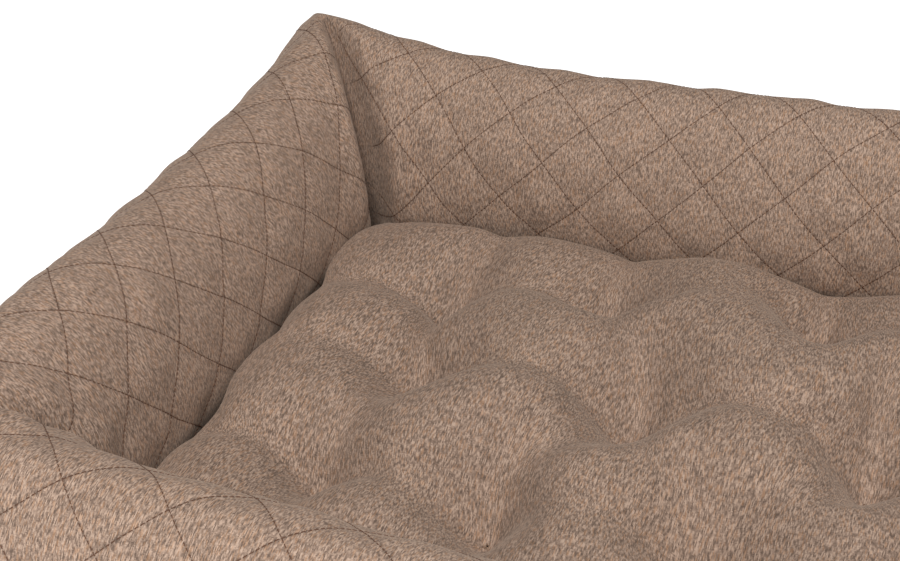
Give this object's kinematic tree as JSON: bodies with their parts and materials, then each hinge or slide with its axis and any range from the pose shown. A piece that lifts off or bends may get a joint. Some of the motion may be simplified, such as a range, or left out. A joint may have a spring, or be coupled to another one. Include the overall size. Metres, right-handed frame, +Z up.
{
  "type": "pet bed",
  "caption": "Rectangular pet bed with four stuffed, diamond-quilted walls round a well and a loose tufted cushion; zips for the walls' and cushion's filling.",
  "frame": {"origin": "centre of the underside, on the surface that the bed stands on", "axes": "+X along the long side, +Y to the back wall, +Z up"},
  "size_m": [0.9, 0.7, 0.232],
  "materials": {
    "quilted_fabric": "woven melange polyester, taupe brown, diamond quilted with brown thread",
    "plain_fabric": "woven melange polyester, taupe brown, unquilted",
    "fill": "white hollow-fibre filling",
    "base_fabric": "dark woven base cloth with small grip dots",
    "lining": "plain brown lining cloth",
    "thread": "dark brown polyester thread",
    "zip_tape": "woven brown zip tape",
    "zip_teeth": "moulded brown polymer teeth",
    "zip_metal": "gunmetal-plated die-cast zinc",
    "label": "blank woven satin tape"
  },
  "bodies": {
    "bed": {"base_sheet": "base_fabric", "base_pad": "fill", "floor_lining": "lining", "wall_back_cover": "quilted_fabric", "wall_front_cover": "quilted_fabric", "wall_left_cover": "quilted_fabric", "wall_right_cover": "quilted_fabric", "wall_back_fill": "fill", "wall_front_fill": "fill", "wall_left_fill": "fill", "wall_right_fill": "fill", "partition_back_left": "lining", "partition_back_right": "lining", "partition_front_left": "lining", "partition_front_right": "lining", "zip_back_tape": "zip_tape", "zip_back_teeth": "zip_teeth", "zip_back_stops": "zip_metal", "zip_front_tape": "zip_tape", "zip_front_teeth": "zip_teeth", "zip_front_stops": "zip_metal", "zip_left_tape": "zip_tape", "zip_left_teeth": "zip_teeth", "zip_left_stops": "zip_metal", "zip_right_tape": "zip_tape", "zip_right_teeth": "zip_teeth", "zip_right_stops": "zip_metal"},
    "cushion": {"cushion_top_panel": "plain_fabric", "cushion_bottom_panel": "plain_fabric", "cushion_fill": "fill", "cushion_tufts": "thread", "care_label": "label", "zip_cushion_tape": "zip_tape", "zip_cushion_teeth": "zip_teeth", "zip_cushion_stops": "zip_metal"},
    "back_slider": {"zip_back_slider": "zip_metal"},
    "back_pull": {"zip_back_pull": "zip_metal"},
    "front_slider": {"zip_front_slider": "zip_metal"},
    "front_pull": {"zip_front_pull": "zip_metal"},
    "left_slider": {"zip_left_slider": "zip_metal"},
    "left_pull": {"zip_left_pull": "zip_metal"},
    "right_slider": {"zip_right_slider": "zip_metal"},
    "right_pull": {"zip_right_pull": "zip_metal"},
    "cushion_slider": {"zip_cushion_slider": "zip_metal"},
    "cushion_pull": {"zip_cushion_pull": "zip_metal"}
  },
  "joints": [
    {"name": "cushion_lift", "type": "slide", "parent": "bed", "child": "cushion", "axis": [0, 0, 1], "range_m": [0, 0.32]},
    {"name": "back_zip_run", "type": "slide", "parent": "bed", "child": "back_slider", "axis": [1, 0, 0], "range_m": [0, 0.547]},
    {"name": "back_pull_turn", "type": "hinge", "parent": "back_slider", "child": "back_pull", "pos_m": [-0.2735, 0.34604, 0.0142], "axis": [0, 0, 1], "range_deg": [0, 165]},
    {"name": "front_zip_run", "type": "slide", "parent": "bed", "child": "front_slider", "axis": [-1, 0, 0], "range_m": [0, 0.547]},
    {"name": "front_pull_turn", "type": "hinge", "parent": "front_slider", "child": "front_pull", "pos_m": [0.2735, -0.34604, 0.0142], "axis": [0, 0, 1], "range_deg": [0, 165]},
    {"name": "left_zip_run", "type": "slide", "parent": "bed", "child": "left_slider", "axis": [0, 1, 0], "range_m": [0, 0.367]},
    {"name": "left_pull_turn", "type": "hinge", "parent": "left_slider", "child": "left_pull", "pos_m": [-0.44604, -0.1835, 0.0142], "axis": [0, 0, 1], "range_deg": [0, 165]},
    {"name": "right_zip_run", "type": "slide", "parent": "bed", "child": "right_slider", "axis": [0, -1, 0], "range_m": [0, 0.367]},
    {"name": "right_pull_turn", "type": "hinge", "parent": "right_slider", "child": "right_pull", "pos_m": [0.44604, 0.1835, 0.0142], "axis": [0, 0, 1], "range_deg": [0, 165]},
    {"name": "cushion_zip_run", "type": "slide", "parent": "cushion", "child": "cushion_slider", "axis": [0, -1, 0], "range_m": [0, 0.287]},
    {"name": "cushion_pull_turn", "type": "hinge", "parent": "cushion_slider", "child": "cushion_pull", "pos_m": [0.3108, 0.1435, 0.0581], "axis": [0, 0, 1], "range_deg": [0, 6]}
  ]
}
